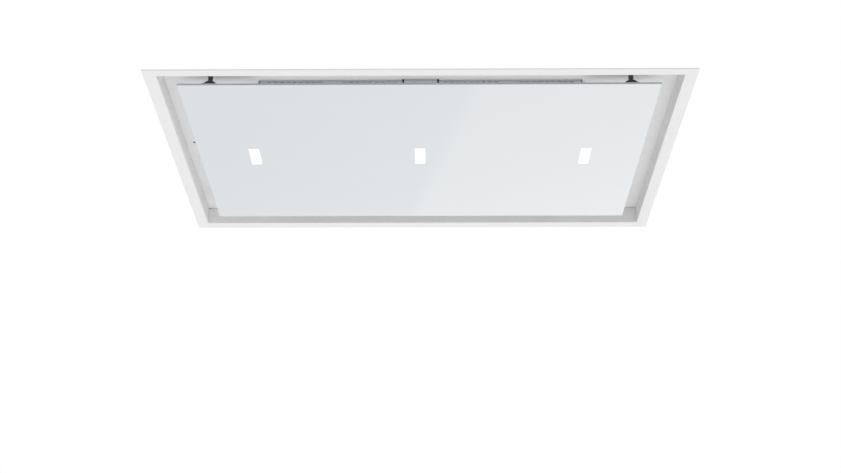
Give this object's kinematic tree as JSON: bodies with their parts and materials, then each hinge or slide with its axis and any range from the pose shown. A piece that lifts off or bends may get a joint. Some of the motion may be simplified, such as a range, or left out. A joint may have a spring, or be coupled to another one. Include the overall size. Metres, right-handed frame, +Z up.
{
  "type": "ceiling range hood",
  "caption": "Flush ceiling extractor hood: white flanged frame, flat glass panel with light windows over an open edge gap, blower casing and duct collar above.",
  "frame": {"origin": "centre of the ceiling opening, on the plane of the ceiling that the flange bears on", "axes": "+X along the long side, +Y towards the panel's hinges and the duct outlet, +Z up into the ceiling"},
  "size_m": [1, 0.7, 0.2471],
  "materials": {
    "white_frame": "satin white powder coat",
    "panel_glass": "polished glass, painted white on its back",
    "led_diffuser": "opal diffuser, lit",
    "lamp_housing": "fine matte moulding",
    "black_plastic": "fine matte moulding",
    "red_lens": "glossy",
    "filter_aluminium": "satin",
    "filter_mesh": "layered expanded mesh",
    "galvanised_steel": "galvanised, faint spangle",
    "bright_steel": "zinc plated",
    "motor_steel": "satin",
    "grey_plastic": "fine matte moulding",
    "rubber": "matte",
    "circuit_board": "solder mask"
  },
  "bodies": {
    "housing": {"trim_frame": "white_frame", "deck_plate": "white_frame", "led_driver": "lamp_housing", "terminal_block": "lamp_housing", "receiver_lens": "black_plastic", "latch_housing_left": "black_plastic", "latch_housing_right": "black_plastic", "cable_gland": "black_plastic", "receiver_bezel": "red_lens", "filter_bridge": "filter_aluminium", "filter_frame_left": "filter_aluminium", "filter_frame_right": "filter_aluminium", "filter_rail_left": "filter_aluminium", "filter_rail_right": "filter_aluminium", "filter_mesh_left": "filter_mesh", "filter_mesh_right": "filter_mesh", "casing_shell": "galvanised_steel", "casing_top": "galvanised_steel", "scroll_housing": "galvanised_steel", "scroll_cover": "galvanised_steel", "motor_bracket": "galvanised_steel", "outlet_collar": "galvanised_steel", "hanger_bracket_near_left": "galvanised_steel", "hanger_bracket_near_right": "galvanised_steel", "hanger_bracket_far_left": "galvanised_steel", "hanger_bracket_far_right": "galvanised_steel", "hinge_leaf_left": "bright_steel", "hinge_leaf_right": "bright_steel", "hinge_pin_left": "bright_steel", "hinge_pin_right": "bright_steel", "flap_spindle": "bright_steel", "motor": "motor_steel", "catch_socket_left": "grey_plastic", "catch_socket_right": "grey_plastic", "control_box": "grey_plastic", "control_box_lid": "grey_plastic", "motor_mount_1": "rubber", "motor_mount_2": "rubber", "motor_mount_3": "rubber", "control_board": "circuit_board"},
    "panel": {"glass_panel": "panel_glass", "panel_frame": "filter_aluminium", "led_diffuser_left": "led_diffuser", "led_housing_left": "lamp_housing", "led_diffuser_centre": "led_diffuser", "led_housing_centre": "lamp_housing", "led_diffuser_right": "led_diffuser", "led_housing_right": "lamp_housing", "catch_stud_left": "black_plastic", "hinge_arm_left": "bright_steel", "catch_stud_right": "black_plastic", "hinge_arm_right": "bright_steel"},
    "rotor": {"impeller": "grey_plastic", "motor_shaft": "bright_steel"},
    "flap_left": {"flap_left": "grey_plastic"},
    "flap_right": {"flap_right": "grey_plastic"},
    "latch_left": {"filter_latch_left": "black_plastic"},
    "latch_right": {"filter_latch_right": "black_plastic"}
  },
  "joints": [
    {"name": "panel_swing", "type": "hinge", "parent": "housing", "child": "panel", "pos_m": [0, 0.275, 0.014], "axis": [1, 0, 0], "range_deg": [0, 88]},
    {"name": "impeller_spin", "type": "hinge", "parent": "housing", "child": "rotor", "pos_m": [-0.06, -0.02, 0.15], "axis": [0, 0, 1], "continuous": true},
    {"name": "flap_left_swing", "type": "hinge", "parent": "housing", "child": "flap_left", "pos_m": [0.04, 0.303, 0.13645], "axis": [0, 0, -1], "range_deg": [0, 75], "stiffness_Nm_per_rad": 0.008, "springref_deg": -11.46},
    {"name": "flap_right_swing", "type": "hinge", "parent": "housing", "child": "flap_right", "pos_m": [0.04, 0.303, 0.13645], "axis": [0, 0, 1], "range_deg": [0, 75], "stiffness_Nm_per_rad": 0.008, "springref_deg": -11.46},
    {"name": "filter_latch_left_slide", "type": "slide", "parent": "housing", "child": "latch_left", "axis": [-1, 0, 0], "range_m": [0, 0.006], "stiffness_N_per_m": 300, "springref_m": -0.002},
    {"name": "filter_latch_right_slide", "type": "slide", "parent": "housing", "child": "latch_right", "axis": [1, 0, 0], "range_m": [0, 0.006], "stiffness_N_per_m": 300, "springref_m": -0.002}
  ]
}
